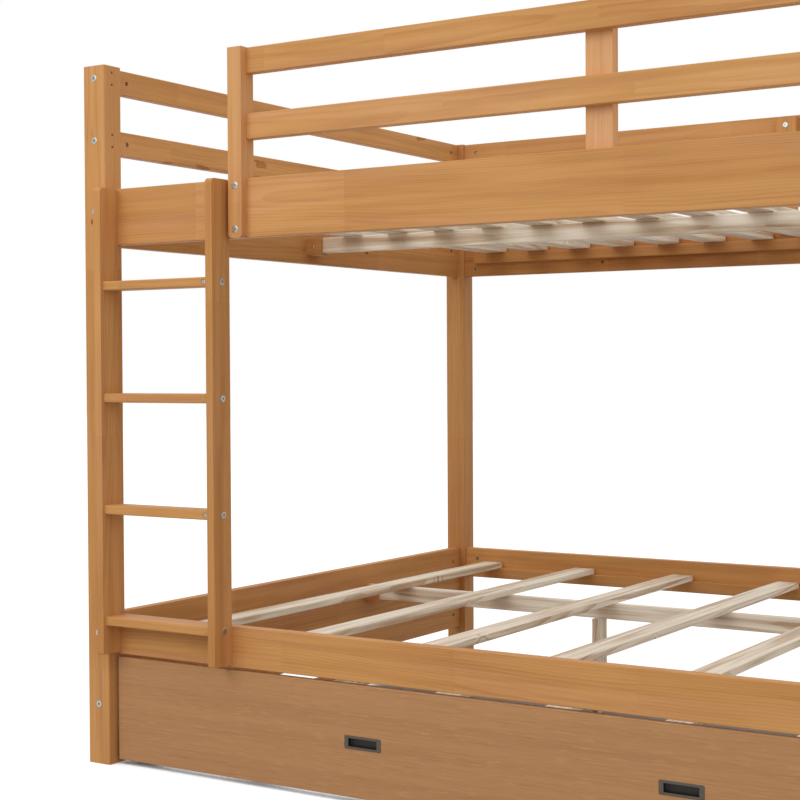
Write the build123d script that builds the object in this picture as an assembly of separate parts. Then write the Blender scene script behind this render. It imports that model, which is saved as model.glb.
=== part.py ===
"""Wooden bunk bed for two wide mattresses, with a trundle that rolls out from under it.

Millimetres, +Z up. The ladder and the trundle front face -Y and the bed's length runs along X.
Every place is worked out from the outer corner of the front left post, then moved so that the
origin lies on the floor, under the middle of the whole bed.
"""

import os

from build123d import *

os.makedirs("parts", exist_ok=True)

# Mattresses that the beds hold
mattress_length = 2032.0
mattress_width = 1524.0
mattress_end_gap = 9.0
mattress_side_gap = 10.0
trundle_mattress_width = 991.0
trundle_mattress_gap = 2.0

# Posts
post_width = 61.0
post_depth = 55.0
post_height = 1556.0
post_edge_radius = 3.0
spare_hole_diameter = 6.0
spare_hole_depth = 12.0
spare_hole_rise = 13.5
spare_hole_setback = 26.0

# Boards of the frame
side_board_thickness = 24.4
side_board_setback = 22.8
end_board_thickness = 24.0
end_board_setback = 19.0
board_edge_radius = 2.0
upper_rail_drop = 274.0
upper_rail_height = 125.0
lower_rail_bottom = 247.0
lower_rail_height = 87.0
lower_end_board_drop = 153.0
guard_height = 54.0
guard_pitch = 138.0
guard_top_drop = 1.0

# Front guard uprights and the upright behind the back guards
gate_post_width = 35.5
gate_post_offset = 403.0
gate_post_stand = 18.0
gate_post_corner_radius = 8.0
middle_upright_width = 56.0
middle_upright_thickness = 24.0
middle_upright_slat_gap = 3.0
middle_upright_drop = 4.0

# Ladder
stile_thickness = 18.0
stile_stand = 36.0
ladder_gap = 294.0
stile_bottom_rise = 6.0
stile_top_drop = 1.0
stile_top_radius = 10.0
stile_bottom_radius = 4.0
rung_count = 4
lowest_rung_drop = 7.0
top_rung_drop = 216.0
rung_thickness = 20.0
rung_setback = 7.0
rung_edge_radius = 3.0

# Slats, the ledges that they lie on and the beams under them
slat_width = 60.0
slat_thickness = 16.0
slat_end_gap = 5.0
slat_edge_radius = 2.0
ledge_height = 30.0
ledge_thickness = 20.0
ledge_end_gap = 60.0
upper_slat_count = 14
upper_slat_inset = 135.0
upper_slat_drop = 42.0
lower_slat_count = 7
lower_slat_inset = 116.0
lower_slat_drop = 37.0
beam_height = 40.0
beam_thickness = 20.0
beam_leg_thickness = 16.0
beam_leg_depth = 56.0
beam_leg_inset = 696.0
cradle_length = 40.0
cradle_depth = 56.0
cradle_floor = 6.0
cradle_slot_gap = 0.4
cradle_corner_radius = 3.0
beam_end_gap = 2.0

# Trundle
trundle_gap = 12.0
trundle_setback = 19.0
trundle_front_bottom = 11.0
trundle_front_top_gap = 6.0
trundle_front_thickness = 18.0
trundle_board_bottom = 16.0
trundle_board_height = 54.0
trundle_board_thickness = 16.0
trundle_slat_wheel_gap = 4.0
trundle_ledge_height = 20.0
trundle_ledge_thickness = 20.0
trundle_slat_count = 7
trundle_slat_width = 68.0
trundle_slat_thickness = 15.0
trundle_slat_inset = 5.0
leg_gap_behind_trundle = 6.0

# Flush pulls let into the trundle front
pull_width = 87.5
pull_height = 27.0
pull_flange = 1.5
pull_corner_radius = 1.5
pull_pocket_width = 69.0
pull_pocket_height = 17.0
pull_depth = 12.0
pull_wall = 1.2
pull_spacing = 685.0
pull_centre_height = 124.0
pull_fit = 0.3

# Casters on the inner faces of the trundle sides
wheel_diameter = 38.0
wheel_width = 15.0
wheel_tread_radius = 3.0
wheel_hub_diameter = 14.0
wheel_side_dish = 1.5
wheel_side_gap = 0.6
axle_diameter = 6.0
axle_running_fit = 0.05
axle_head_diameter = 10.0
axle_head_thickness = 1.6
caster_plate_width = 42.0
caster_plate_thickness = 2.0
caster_plate_bottom = 9.0
caster_plate_height = 46.0
caster_plate_radius = 5.0
caster_inset = 130.0

# Bolts with barrel nuts, and the holes that they sit in
bolt_head_diameter = 12.5
bolt_head_height = 4.0
bolt_head_sink = 1.5
bolt_shank_diameter = 6.0
bolt_hole_gap = 0.25
bolt_head_gap = 0.5
bolt_tip_past_nut = 3.0
nut_diameter = 10.0
nut_length = 15.0
nut_gap = 0.2
nut_sink = 4.5
nut_inset = 40.0
rail_bolt_from_top = 31.0
rail_bolt_from_bottom = 22.0
end_rail_bolt_from_top = 49.0
end_board_bolt_inset = 40.0
gate_bolt_from_bottom = 17.0
gate_bolt_rise = 92.0
middle_upright_bolt_from_top = 20.0
ladder_bolt_from_rail_top = 20.0
rung_nut_inset = 12.0
rung_nut_length = 31.0
rung_nut_sink = 1.0

# Sizes that follow from the ones above
end_board_face = end_board_setback + end_board_thickness
side_board_face = side_board_setback + side_board_thickness
bed_length = mattress_length + 2 * (mattress_end_gap + end_board_face)
bed_depth = mattress_width + 2 * (mattress_side_gap + side_board_face)
upper_rail_top = post_height - upper_rail_drop
upper_rail_bottom = upper_rail_top - upper_rail_height
lower_rail_top = lower_rail_bottom + lower_rail_height
upper_slat_top = upper_rail_top - upper_slat_drop
lower_slat_top = lower_rail_top - lower_slat_drop
stile_rise = (lower_rail_bottom + stile_bottom_rise, upper_rail_top - stile_top_drop)
guard_tops = [post_height - guard_top_drop - row * guard_pitch for row in range(2)]
front_board = (side_board_setback, side_board_face)
back_board = (bed_depth - side_board_face, bed_depth - side_board_setback)
left_board = (end_board_setback, end_board_face)
right_board = (bed_length - end_board_face, bed_length - end_board_setback)
between_posts_x = (post_width, bed_length - post_width)
between_posts_y = (post_depth, bed_depth - post_depth)
stile_faces = (-stile_stand, side_board_setback)
rung_faces = (rung_setback - stile_stand, side_board_setback)
left_stile = (post_width, post_width + stile_thickness)
right_stile = (left_stile[1] + ladder_gap, left_stile[1] + ladder_gap + stile_thickness)
gate_post = (gate_post_offset, gate_post_offset + gate_post_width)
trundle_x = (post_width + trundle_gap, bed_length - post_width - trundle_gap)
trundle_front_face = trundle_setback + trundle_front_thickness
trundle_back_face = trundle_front_face + trundle_mattress_width + 2 * trundle_mattress_gap
trundle_depth_end = trundle_back_face + trundle_board_thickness
trundle_inner_x = (trundle_x[0] + trundle_board_thickness, trundle_x[1] - trundle_board_thickness)
lower_beam_y = trundle_depth_end + leg_gap_behind_trundle + beam_leg_depth / 2
upper_beam_y = bed_depth / 2
shank_hole_diameter = bolt_shank_diameter + 2 * bolt_hole_gap
to_origin = Pos(-bed_length / 2, (stile_stand - bed_depth) / 2, 0)

RIGHT = Vector(1, 0, 0)
BACK = Vector(0, 1, 0)

pieces = {}
cutters = {}


def middle(ends):
    """The middle of a (low, high) pair."""
    return (ends[0] + ends[1]) / 2


def span(ends):
    """The length of a (low, high) pair."""
    return ends[1] - ends[0]


def board(axis, x, y, z, edge_radius=board_edge_radius):
    """A straight board between two places on each axis, its long edges eased."""
    if axis == "X":
        start = Plane((x[0], middle(y), middle(z)), x_dir=(0, 1, 0), z_dir=(1, 0, 0))
        section = RectangleRounded(span(y), span(z), edge_radius)
        return extrude(start * section, span(x))
    if axis == "Y":
        start = Plane((middle(x), y[0], middle(z)), x_dir=(0, 0, 1), z_dir=(0, 1, 0))
        section = RectangleRounded(span(z), span(x), edge_radius)
        return extrude(start * section, span(y))
    section = RectangleRounded(span(x), span(y), edge_radius)
    return extrude(Plane((middle(x), middle(y), z[0])) * section, span(z))


def rod(start, direction, length, diameter):
    """A round bar that begins at a point and runs in a direction."""
    shape = Cylinder(diameter / 2, length, align=(Align.CENTER, Align.CENTER, Align.MIN))
    return Plane(start, z_dir=direction) * shape


def evenly(first, last, count):
    """Places from first to last, evenly spaced."""
    return [first + (last - first) * i / (count - 1) for i in range(count)]


def add(name, shape):
    """Keep a piece under its name, with an empty list of holes to drill in it."""
    pieces[name] = shape
    cutters[name] = []


def bolt(start, direction, length):
    """A bolt whose head begins at a point, with its shank running in a direction."""
    head = rod(start, direction, bolt_head_height, bolt_head_diameter)
    return head + rod(start, direction, length, bolt_shank_diameter)


def barrel_nut(outer_end, inward, length, bolt_point, bolt_direction):
    """A round nut lying across a bolt, with the hole that the bolt screws into."""
    body = rod(outer_end, inward, length, nut_diameter)
    hole_start = bolt_point - bolt_direction * nut_diameter
    return body - rod(hole_start, bolt_direction, 2 * nut_diameter, shank_hole_diameter)


def fasten(outer, start, direction, outer_depth, inner, nut_face, nut_side, inset,
           sink=nut_sink, length=nut_length):
    """Bolt through the outer piece into the end of the inner one, and give the bolt and its nut.

    start is on the outer piece's face. nut_face is how far the inner piece's face lies from the
    bolt, towards nut_side, where the barrel nut goes in and is sunk below the face.
    """
    head_seat = bolt_head_sink + bolt_head_height
    end = start + direction * outer_depth
    nut_centre = end + direction * inset
    bolt_length = outer_depth + inset + nut_diameter / 2 + bolt_tip_past_nut - bolt_head_sink
    head_hole = bolt_head_diameter + 2 * bolt_head_gap
    cutters[outer].append(rod(start, direction, head_seat, head_hole))
    cutters[outer].append(rod(start, direction, outer_depth, shank_hole_diameter))
    cutters[inner].append(rod(end, direction, inset + nut_diameter, shank_hole_diameter))
    nut_hole = nut_diameter + 2 * nut_gap
    mouth = nut_centre + nut_side * nut_face
    cutters[inner].append(rod(mouth, nut_side * -1, sink + length + nut_gap, nut_hole))
    nut_end = mouth - nut_side * sink
    shaft = bolt(start + direction * bolt_head_sink, direction, bolt_length)
    return shaft, barrel_nut(nut_end, nut_side * -1, length, nut_centre, direction)


def make_posts():
    """Four corner posts as tall as the bed."""
    low_x, high_x = (0, post_width), (bed_length - post_width, bed_length)
    low_y, high_y = (0, post_depth), (bed_depth - post_depth, bed_depth)
    corners = {
        "post_front_left": (low_x, low_y),
        "post_front_right": (high_x, low_y),
        "post_back_left": (low_x, high_y),
        "post_back_right": (high_x, high_y),
    }
    for name, (x, y) in corners.items():
        add(name, board("Z", x, y, (0, post_height), post_edge_radius))
    for top in guard_tops:
        for rise in (-spare_hole_rise, spare_hole_rise):
            height = top - guard_height / 2 + rise
            mouth = Vector(post_width, spare_hole_setback, height)
            spare = rod(mouth, RIGHT * -1, spare_hole_depth, spare_hole_diameter)
            cutters["post_front_left"].append(spare)


def make_frame_boards():
    """Side rails, end boards and guards, all ending on the posts."""
    upper = (upper_rail_bottom, upper_rail_top)
    lower = (lower_rail_bottom, lower_rail_top)
    lower_end = (lower_rail_bottom - lower_end_board_drop, lower_rail_top)
    for side, y in (("front", front_board), ("back", back_board)):
        add(f"upper_rail_{side}", board("X", between_posts_x, y, upper))
        add(f"lower_rail_{side}", board("X", between_posts_x, y, lower))
    for side, x in (("left", left_board), ("right", right_board)):
        add(f"upper_end_rail_{side}", board("Y", x, between_posts_y, upper))
        add(f"lower_end_board_{side}", board("Y", x, between_posts_y, lower_end))
    for row, top in zip(("top", "second"), guard_tops):
        rise = (top - guard_height, top)
        front = (gate_post[1], between_posts_x[1])
        add(f"guard_{row}_front", board("X", front, front_board, rise))
        add(f"guard_{row}_back", board("X", between_posts_x, back_board, rise))
        add(f"guard_{row}_left", board("Y", left_board, between_posts_y, rise))
        add(f"guard_{row}_right", board("Y", right_board, between_posts_y, rise))


def make_guard_uprights():
    """The notched upright beside the ladder, and the uprights halfway along both guards."""
    height = (upper_rail_bottom, post_height)
    face = Rectangle(gate_post_width, span(height))
    lower_corners = face.vertices().group_by(Axis.Y)[0]
    face = fillet(lower_corners, gate_post_corner_radius)
    front = side_board_setback - gate_post_stand
    start = Plane((middle(gate_post), front, middle(height)), x_dir=(1, 0, 0), z_dir=(0, -1, 0))
    body = extrude(start * face, -(side_board_face - front))
    notch = Pos(middle(gate_post), side_board_face, upper_rail_top) * Box(
        2 * gate_post_width, 2 * side_board_thickness, 2 * upper_rail_height,
        align=(Align.CENTER, Align.CENTER, Align.MAX))
    add("gate_upright", body - notch)

    rise = (upper_slat_top + middle_upright_slat_gap, guard_tops[0] - middle_upright_drop)
    reach = middle_upright_width / 2
    centres = {
        "guard_upright_front": (middle((gate_post[0], between_posts_x[1])),
                                (side_board_face, side_board_face + middle_upright_thickness)),
        "guard_upright_back": (bed_length / 2,
                               (back_board[0] - middle_upright_thickness, back_board[0])),
    }
    for name, (centre, y) in centres.items():
        add(name, board("Z", (centre - reach, centre + reach), y, rise))


def stile(x):
    """One side of the ladder, its top corners well rounded."""
    profile = Rectangle(span(stile_faces), span(stile_rise))
    rows = profile.vertices().group_by(Axis.Y)
    profile = fillet(rows[0], stile_bottom_radius)
    profile = fillet(profile.vertices().group_by(Axis.Y)[-1], stile_top_radius)
    corner = (x[0], middle(stile_faces), middle(stile_rise))
    return extrude(Plane(corner, x_dir=(0, 1, 0), z_dir=(1, 0, 0)) * profile, span(x))


def rung_heights():
    """The middle of each rung, from the lower rail's top to a step below the upper bed."""
    lowest = lower_rail_top - lowest_rung_drop
    return evenly(lowest, stile_rise[1] - top_rung_drop, rung_count)


def make_ladder():
    """Two stiles in front of the rails, with flat rungs between them."""
    add("ladder_stile_left", stile(left_stile))
    add("ladder_stile_right", stile(right_stile))
    for number, height in enumerate(rung_heights(), start=1):
        rise = (height - rung_thickness / 2, height + rung_thickness / 2)
        x = (left_stile[1], right_stile[0])
        add(f"ladder_rung_{number}", board("X", x, rung_faces, rise, rung_edge_radius))


def slat_row(count, inset, top, y):
    """A row of slats side by side along the bed, each running across it."""
    centres = evenly(end_board_face + inset, bed_length - end_board_face - inset, count)
    reach = slat_width / 2
    rise = (top - slat_thickness, top)
    shapes = [board("Y", (x - reach, x + reach), y, rise, slat_edge_radius) for x in centres]
    return Compound(shapes)


def make_slats():
    """Both slat rows and the ledges that carry their ends."""
    y = (side_board_face + slat_end_gap, back_board[0] - slat_end_gap)
    add("upper_slats", slat_row(upper_slat_count, upper_slat_inset, upper_slat_top, y))
    add("lower_slats", slat_row(lower_slat_count, lower_slat_inset, lower_slat_top, y))
    x = (end_board_face + ledge_end_gap, bed_length - end_board_face - ledge_end_gap)
    sides = {
        "front": (side_board_face, side_board_face + ledge_thickness),
        "back": (back_board[0] - ledge_thickness, back_board[0]),
    }
    for bed, slat_top in (("upper", upper_slat_top), ("lower", lower_slat_top)):
        top = slat_top - slat_thickness
        for side, ledge_y in sides.items():
            add(f"{bed}_ledge_{side}", board("X", x, ledge_y, (top - ledge_height, top)))


def cradle(face, direction, beam_y, top):
    """A slotted block on an end board that a beam's end drops into."""
    far = face + direction * cradle_length
    x = (min(face, far), max(face, far))
    y = (beam_y - cradle_depth / 2, beam_y + cradle_depth / 2)
    z = (top - beam_height - cradle_floor, top)
    slot_width = beam_thickness + 2 * cradle_slot_gap
    slot_x = face + direction * beam_end_gap
    slot = Pos(slot_x + direction * cradle_length, beam_y, top) * Box(
        2 * cradle_length, slot_width, 2 * beam_height)
    return board("X", x, y, z, cradle_corner_radius) - slot


def make_beams():
    """A beam under each slat row, its cradles, and the legs of the lower one."""
    ends = (end_board_face + beam_end_gap, bed_length - end_board_face - beam_end_gap)
    blocks = []
    for bed, y, slat_top in (("upper", upper_beam_y, upper_slat_top),
                             ("lower", lower_beam_y, lower_slat_top)):
        top = slat_top - slat_thickness
        beam_y = (y - beam_thickness / 2, y + beam_thickness / 2)
        add(f"{bed}_beam", board("X", ends, beam_y, (top - beam_height, top)))
        blocks.append(cradle(end_board_face, 1, y, top))
        blocks.append(cradle(bed_length - end_board_face, -1, y, top))
    add("beam_cradles", Compound(blocks))

    leg_y = (lower_beam_y - beam_leg_depth / 2, lower_beam_y + beam_leg_depth / 2)
    leg_top = lower_slat_top - slat_thickness - beam_height
    reach = beam_leg_thickness / 2
    places = {
        "beam_leg_left": end_board_face + beam_leg_inset + reach,
        "beam_leg_right": bed_length - end_board_face - beam_leg_inset - reach,
    }
    for name, x in places.items():
        add(name, board("Z", (x - reach, x + reach), leg_y, (0, leg_top)))


def pull_places():
    """The middles of the two flush pulls on the trundle's front face."""
    for side, offset in (("left", -pull_spacing / 2), ("right", pull_spacing / 2)):
        yield side, Plane((bed_length / 2 + offset, trundle_setback, pull_centre_height),
                          x_dir=(1, 0, 0), z_dir=(0, -1, 0))


def flush_pull(place):
    """A shallow metal cup with a flange that lies on the wood around it."""
    flange = extrude(RectangleRounded(pull_width, pull_height, pull_corner_radius), pull_flange)
    cup_width = pull_pocket_width + 2 * pull_wall
    cup_height = pull_pocket_height + 2 * pull_wall
    cup = extrude(RectangleRounded(cup_width, cup_height, pull_corner_radius), -pull_depth)
    pocket = Pos(0, 0, pull_wall - pull_depth) * extrude(
        RectangleRounded(pull_pocket_width, pull_pocket_height, pull_corner_radius / 2),
        pull_depth + pull_flange)
    return place * (flange + cup - pocket)


def make_trundle():
    """The trundle's box: tall front, low back and sides, ledges, slats and flush pulls."""
    front_rise = (trundle_front_bottom, lower_rail_bottom - trundle_front_top_gap)
    front_y = (trundle_setback, trundle_front_face)
    add("trundle_front", board("X", trundle_x, front_y, front_rise))
    cup_room = 2 * (pull_wall + pull_fit)
    for side, place in pull_places():
        add(f"trundle_pull_{side}", flush_pull(place))
        room = Rectangle(pull_pocket_width + cup_room, pull_pocket_height + cup_room)
        cutters["trundle_front"].append(extrude(place * room, -(pull_depth + pull_fit)))

    rise = (trundle_board_bottom, trundle_board_bottom + trundle_board_height)
    inner_y = (trundle_front_face, trundle_back_face)
    add("trundle_back", board("X", trundle_x, (trundle_back_face, trundle_depth_end), rise))
    add("trundle_side_left", board("Y", (trundle_x[0], trundle_inner_x[0]), inner_y, rise))
    add("trundle_side_right", board("Y", (trundle_inner_x[1], trundle_x[1]), inner_y, rise))

    ledge_top = wheel_diameter + trundle_slat_wheel_gap
    ledge_rise = (ledge_top - trundle_ledge_height, ledge_top)
    front_ledge = (trundle_front_face, trundle_front_face + trundle_ledge_thickness)
    back_ledge = (trundle_back_face - trundle_ledge_thickness, trundle_back_face)
    add("trundle_ledge_front", board("X", trundle_inner_x, front_ledge, ledge_rise))
    add("trundle_ledge_back", board("X", trundle_inner_x, back_ledge, ledge_rise))

    reach = trundle_slat_width / 2
    first = trundle_inner_x[0] + trundle_slat_inset + reach
    last = trundle_inner_x[1] - trundle_slat_inset - reach
    slat_y = (trundle_front_face + slat_end_gap, trundle_back_face - slat_end_gap)
    slat_rise = (ledge_top, ledge_top + trundle_slat_thickness)
    slats = [board("Y", (x - reach, x + reach), slat_y, slat_rise, slat_edge_radius)
             for x in evenly(first, last, trundle_slat_count)]
    add("trundle_slats", Compound(slats))


def wheel():
    """A caster wheel along +X from its inner side, with a raised hub and a rounded tread."""
    radius = wheel_diameter / 2
    bore = axle_diameter / 2 + axle_running_fit
    hub = wheel_hub_diameter / 2
    dish = wheel_side_dish
    tread = wheel_tread_radius
    with BuildPart() as body:
        with BuildSketch(Plane.XY):
            with BuildLine():
                Polyline((0, bore), (0, hub), (dish, hub), (dish, radius - tread))
                RadiusArc((dish, radius - tread), (dish + tread, radius), tread)
                Line((dish + tread, radius), (wheel_width - dish - tread, radius))
                RadiusArc((wheel_width - dish - tread, radius),
                          (wheel_width - dish, radius - tread), tread)
                Polyline((wheel_width - dish, radius - tread), (wheel_width - dish, hub),
                         (wheel_width, hub), (wheel_width, bore), (0, bore))
            make_face()
        revolve(axis=Axis.X)
    return body.part


def make_casters():
    """Four fixed casters: a steel plate, an axle riveted in it and a wheel on the axle."""
    radius = wheel_diameter / 2
    plates, axles = [], []
    plate_height = caster_plate_bottom + caster_plate_height / 2
    for side, face, direction in (("left", trundle_inner_x[0], 1),
                                  ("right", trundle_inner_x[1], -1)):
        for end, y in (("front", trundle_front_face + caster_inset),
                       ("back", trundle_back_face - caster_inset)):
            out = RIGHT * direction
            hub_start = caster_plate_thickness + wheel_side_gap
            hub_end = hub_start + wheel_width + wheel_side_gap
            plate_face = Plane((face, y, plate_height), x_dir=(0, 1, 0), z_dir=out)
            outline = RectangleRounded(caster_plate_width, caster_plate_height,
                                       caster_plate_radius)
            plate = extrude(plate_face * outline, caster_plate_thickness)
            foot = Vector(face, y, radius)
            plates.append(plate - rod(foot, out, caster_plate_thickness, axle_diameter))
            head = rod(foot + out * hub_end, out, axle_head_thickness, axle_head_diameter)
            axles.append(rod(foot, out, hub_end, axle_diameter) + head)
            turn = 0 if direction > 0 else 180
            place = Pos(face + direction * hub_start, y, radius) * Rot(0, 0, turn)
            add(f"caster_wheel_{end}_{side}", place * wheel())
    add("caster_plates", Compound(plates))
    add("caster_axles", Compound(axles))


def end_joints():
    """Bolts into board ends, as (outer piece, board, start, direction, depth, nut side)."""
    guard_heights = [top - guard_height / 2 for top in guard_tops]
    for side, x, toward in (("left", middle(left_board), RIGHT),
                            ("right", middle(right_board), RIGHT * -1)):
        rows = [(f"guard_{row}_{side}", height)
                for row, height in zip(("top", "second"), guard_heights)]
        rows.append((f"upper_end_rail_{side}", upper_rail_top - end_rail_bolt_from_top))
        low = lower_rail_bottom - lower_end_board_drop + end_board_bolt_inset
        rows.append((f"lower_end_board_{side}", lower_rail_top - end_board_bolt_inset))
        rows.append((f"lower_end_board_{side}", low))
        for name, z in rows:
            yield f"post_front_{side}", name, Vector(x, 0, z), BACK, post_depth, toward
            back = Vector(x, bed_depth, z)
            yield f"post_back_{side}", name, back, BACK * -1, post_depth, toward
    for side, y, toward in (("front", middle(front_board), BACK),
                            ("back", middle(back_board), BACK * -1)):
        rows = [(f"guard_{row}_{side}", height)
                for row, height in zip(("top", "second"), guard_heights)]
        rows.append((f"upper_rail_{side}", upper_rail_top - rail_bolt_from_top))
        rows.append((f"upper_rail_{side}", upper_rail_bottom + rail_bolt_from_bottom))
        rows.append((f"lower_rail_{side}", lower_rail_top - rail_bolt_from_top))
        for name, z in rows:
            right = Vector(bed_length, y, z)
            yield f"post_{side}_right", name, right, RIGHT * -1, post_width, toward
            if side == "back" or "rail" in name:
                left = Vector(0, y, z)
                yield f"post_{side}_left", name, left, RIGHT, post_width, toward
    for row, height in zip(("top", "second"), guard_heights):
        start = Vector(gate_post[0], middle(front_board), height)
        yield "gate_upright", f"guard_{row}_front", start, RIGHT, gate_post_width, BACK


def make_end_bolts():
    """Bolts through the posts and the gate upright, each with its barrel nut in a board."""
    bolts, nuts = [], []
    for outer, name, start, direction, depth, toward in end_joints():
        across = end_board_thickness if toward.X else side_board_thickness
        shaft, nut = fasten(outer, start, direction, depth, name, across / 2, toward, nut_inset)
        bolts.append(shaft)
        nuts.append(nut)
    add("end_bolts", Compound(bolts))
    add("barrel_nuts", Compound(nuts))


def make_ladder_bolts():
    """Bolts through the stiles into the rungs, each with a barrel nut in the rung's front edge."""
    bolts, nuts = [], []
    front = Vector(0, -1, 0)
    y = middle(rung_faces)
    for number, z in enumerate(rung_heights(), start=1):
        name = f"ladder_rung_{number}"
        for side, x, direction in (("left", left_stile[0], RIGHT),
                                   ("right", right_stile[1], RIGHT * -1)):
            start = Vector(x, y, z)
            shaft, nut = fasten(f"ladder_stile_{side}", start, direction, stile_thickness, name,
                                span(rung_faces) / 2, front, rung_nut_inset,
                                rung_nut_sink, rung_nut_length)
            bolts.append(shaft)
            nuts.append(nut)
    add("ladder_bolts", Compound(bolts))
    add("ladder_barrel_nuts", Compound(nuts))


def through_bolt(outer, inner, start, direction, outer_depth, inner_depth):
    """Bolt through the outer piece that screws straight into the inner one."""
    head_seat = bolt_head_sink + bolt_head_height
    cutters[outer].append(rod(start, direction, head_seat, bolt_head_diameter + 2 * bolt_head_gap))
    cutters[outer].append(rod(start, direction, outer_depth, shank_hole_diameter))
    end = start + direction * outer_depth
    cutters[inner].append(rod(end, direction, inner_depth, shank_hole_diameter))
    length = outer_depth + inner_depth - bolt_head_sink - bolt_hole_gap
    return bolt(start + direction * bolt_head_sink, direction, length)


def make_face_bolts():
    """Bolts that hold the uprights and the ladder against the rails and guards."""
    front = side_board_setback - gate_post_stand
    into_rail = side_board_thickness - 2 * bolt_hole_gap
    into_guard = side_board_thickness / 2
    bolts = []
    for rise in (0, gate_bolt_rise):
        start = Vector(middle(gate_post), front, upper_rail_bottom + gate_bolt_from_bottom + rise)
        bolts.append(through_bolt("gate_upright", "upper_rail_front", start, BACK,
                                  gate_post_stand, into_rail))
    into_stile = stile_stand / 2
    for side, x in (("left", middle(left_stile)), ("right", middle(right_stile))):
        for rail, top in (("upper_rail_front", upper_rail_top),
                          ("lower_rail_front", lower_rail_top)):
            start = Vector(x, side_board_face, top - ladder_bolt_from_rail_top)
            bolts.append(through_bolt(rail, f"ladder_stile_{side}", start, BACK * -1,
                                      side_board_thickness, into_stile))
    for side, x, face, direction in (
            ("front", middle((gate_post[0], between_posts_x[1])), side_board_face, BACK * -1),
            ("back", bed_length / 2, back_board[0], BACK)):
        inner = face - direction.Y * middle_upright_thickness
        heights = {f"guard_{row}_{side}": top - guard_height / 2
                   for row, top in zip(("top", "second"), guard_tops)}
        heights[f"upper_rail_{side}"] = upper_rail_top - middle_upright_bolt_from_top
        for name, z in heights.items():
            start = Vector(x, inner, z)
            bolts.append(through_bolt(f"guard_upright_{side}", name, start, direction,
                                      middle_upright_thickness, into_guard))
    add("face_bolts", Compound(bolts))


make_posts()
make_frame_boards()
make_guard_uprights()
make_ladder()
make_slats()
make_beams()
make_trundle()
make_casters()
make_end_bolts()
make_ladder_bolts()
make_face_bolts()

for name, shape in pieces.items():
    if cutters[name]:
        shape = shape - cutters[name]
    export_step(to_origin * shape, f"parts/{name}.step")
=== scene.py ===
"""Dresses the bunk bed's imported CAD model: wood, hardware, casters, studio light and camera."""

import math

import bmesh
import bpy
from bpy.props import FloatProperty, FloatVectorProperty, PointerProperty
from mathutils import Matrix, Vector


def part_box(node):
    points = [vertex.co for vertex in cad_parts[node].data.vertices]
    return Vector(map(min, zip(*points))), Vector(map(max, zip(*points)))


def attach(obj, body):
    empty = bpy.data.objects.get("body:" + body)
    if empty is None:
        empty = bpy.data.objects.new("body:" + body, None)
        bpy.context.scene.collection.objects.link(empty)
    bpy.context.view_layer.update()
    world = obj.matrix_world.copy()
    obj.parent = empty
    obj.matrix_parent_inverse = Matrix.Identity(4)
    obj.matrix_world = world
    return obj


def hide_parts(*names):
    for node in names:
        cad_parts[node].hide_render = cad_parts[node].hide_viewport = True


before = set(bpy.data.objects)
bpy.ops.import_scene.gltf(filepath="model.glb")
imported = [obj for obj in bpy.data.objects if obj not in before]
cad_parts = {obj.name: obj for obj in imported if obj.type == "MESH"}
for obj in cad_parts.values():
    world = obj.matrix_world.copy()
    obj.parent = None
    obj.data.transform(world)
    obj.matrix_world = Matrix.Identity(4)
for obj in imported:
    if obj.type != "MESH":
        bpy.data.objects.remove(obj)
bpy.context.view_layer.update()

bl_info = {
    "name": "Bunk Bed Dresser",
    "version": (1, 0, 0),
    "blender": (4, 5, 0),
    "location": "View3D > Sidebar > Bunk Bed",
    "description": "Gives a wooden bunk bed its grain, bolts, pulls, casters and a studio",
    "category": "Object",
}

MM = 0.001
PICTURE_WIDTH = 800
PICTURE_MIDDLE = PICTURE_WIDTH / 2
SENSOR_WIDTH = 36.0
WHITE = (1, 1, 1, 1)

AXES = {"X": Vector((1, 0, 0)), "Y": Vector((0, 1, 0)), "Z": Vector((0, 0, 1))}


def srgb(red, green, blue):
    """A linear colour from 0 to 255 values as a screen shows them."""
    def linear(value):
        part = value / 255
        return part / 12.92 if part <= 0.04045 else ((part + 0.055) / 1.055) ** 2.4
    return (linear(red), linear(green), linear(blue), 1.0)


def colour_property(name, description, default):
    """A colour that the user can change in the panel."""
    return FloatVectorProperty(name=name, description=description, subtype="COLOR", size=4,
                               min=0.0, max=1.0, default=default)


def length_property(name, description, millimetres):
    """A length that the user can change in the panel."""
    return FloatProperty(name=name, description=description, unit="LENGTH", subtype="DISTANCE",
                         default=millimetres * MM, min=0.0, precision=4)


class BedWoodSettings(bpy.types.PropertyGroup):
    """Colours and grain sizes of the stained boards, the bare slats and the trundle front."""
    stain_light: colour_property("Stain Light", "Stained earlywood", srgb(212, 155, 93))
    stain_deep: colour_property("Stain Deep", "Stained latewood lines", srgb(168, 107, 52))
    stain_knot: colour_property("Stain Knot", "Knots in the stained boards", srgb(92, 50, 20))
    bare_light: colour_property("Bare Light", "Planed slats without finish", srgb(252, 243, 224))
    bare_deep: colour_property("Bare Deep", "Grain lines on the slats", srgb(200, 170, 136))
    bare_knot: colour_property("Bare Knot", "Knots on the slats", srgb(120, 84, 58))
    veneer_light: colour_property("Veneer Light", "Trundle front", srgb(192, 143, 98))
    veneer_deep: colour_property("Veneer Deep", "Trundle front's pore lines", srgb(152, 108, 69))
    ring_spacing: length_property("Ring Spacing", "Distance between growth rings", 4.2)
    block_length: length_property("Block Length", "Usual length of a finger-jointed block", 420)


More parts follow.
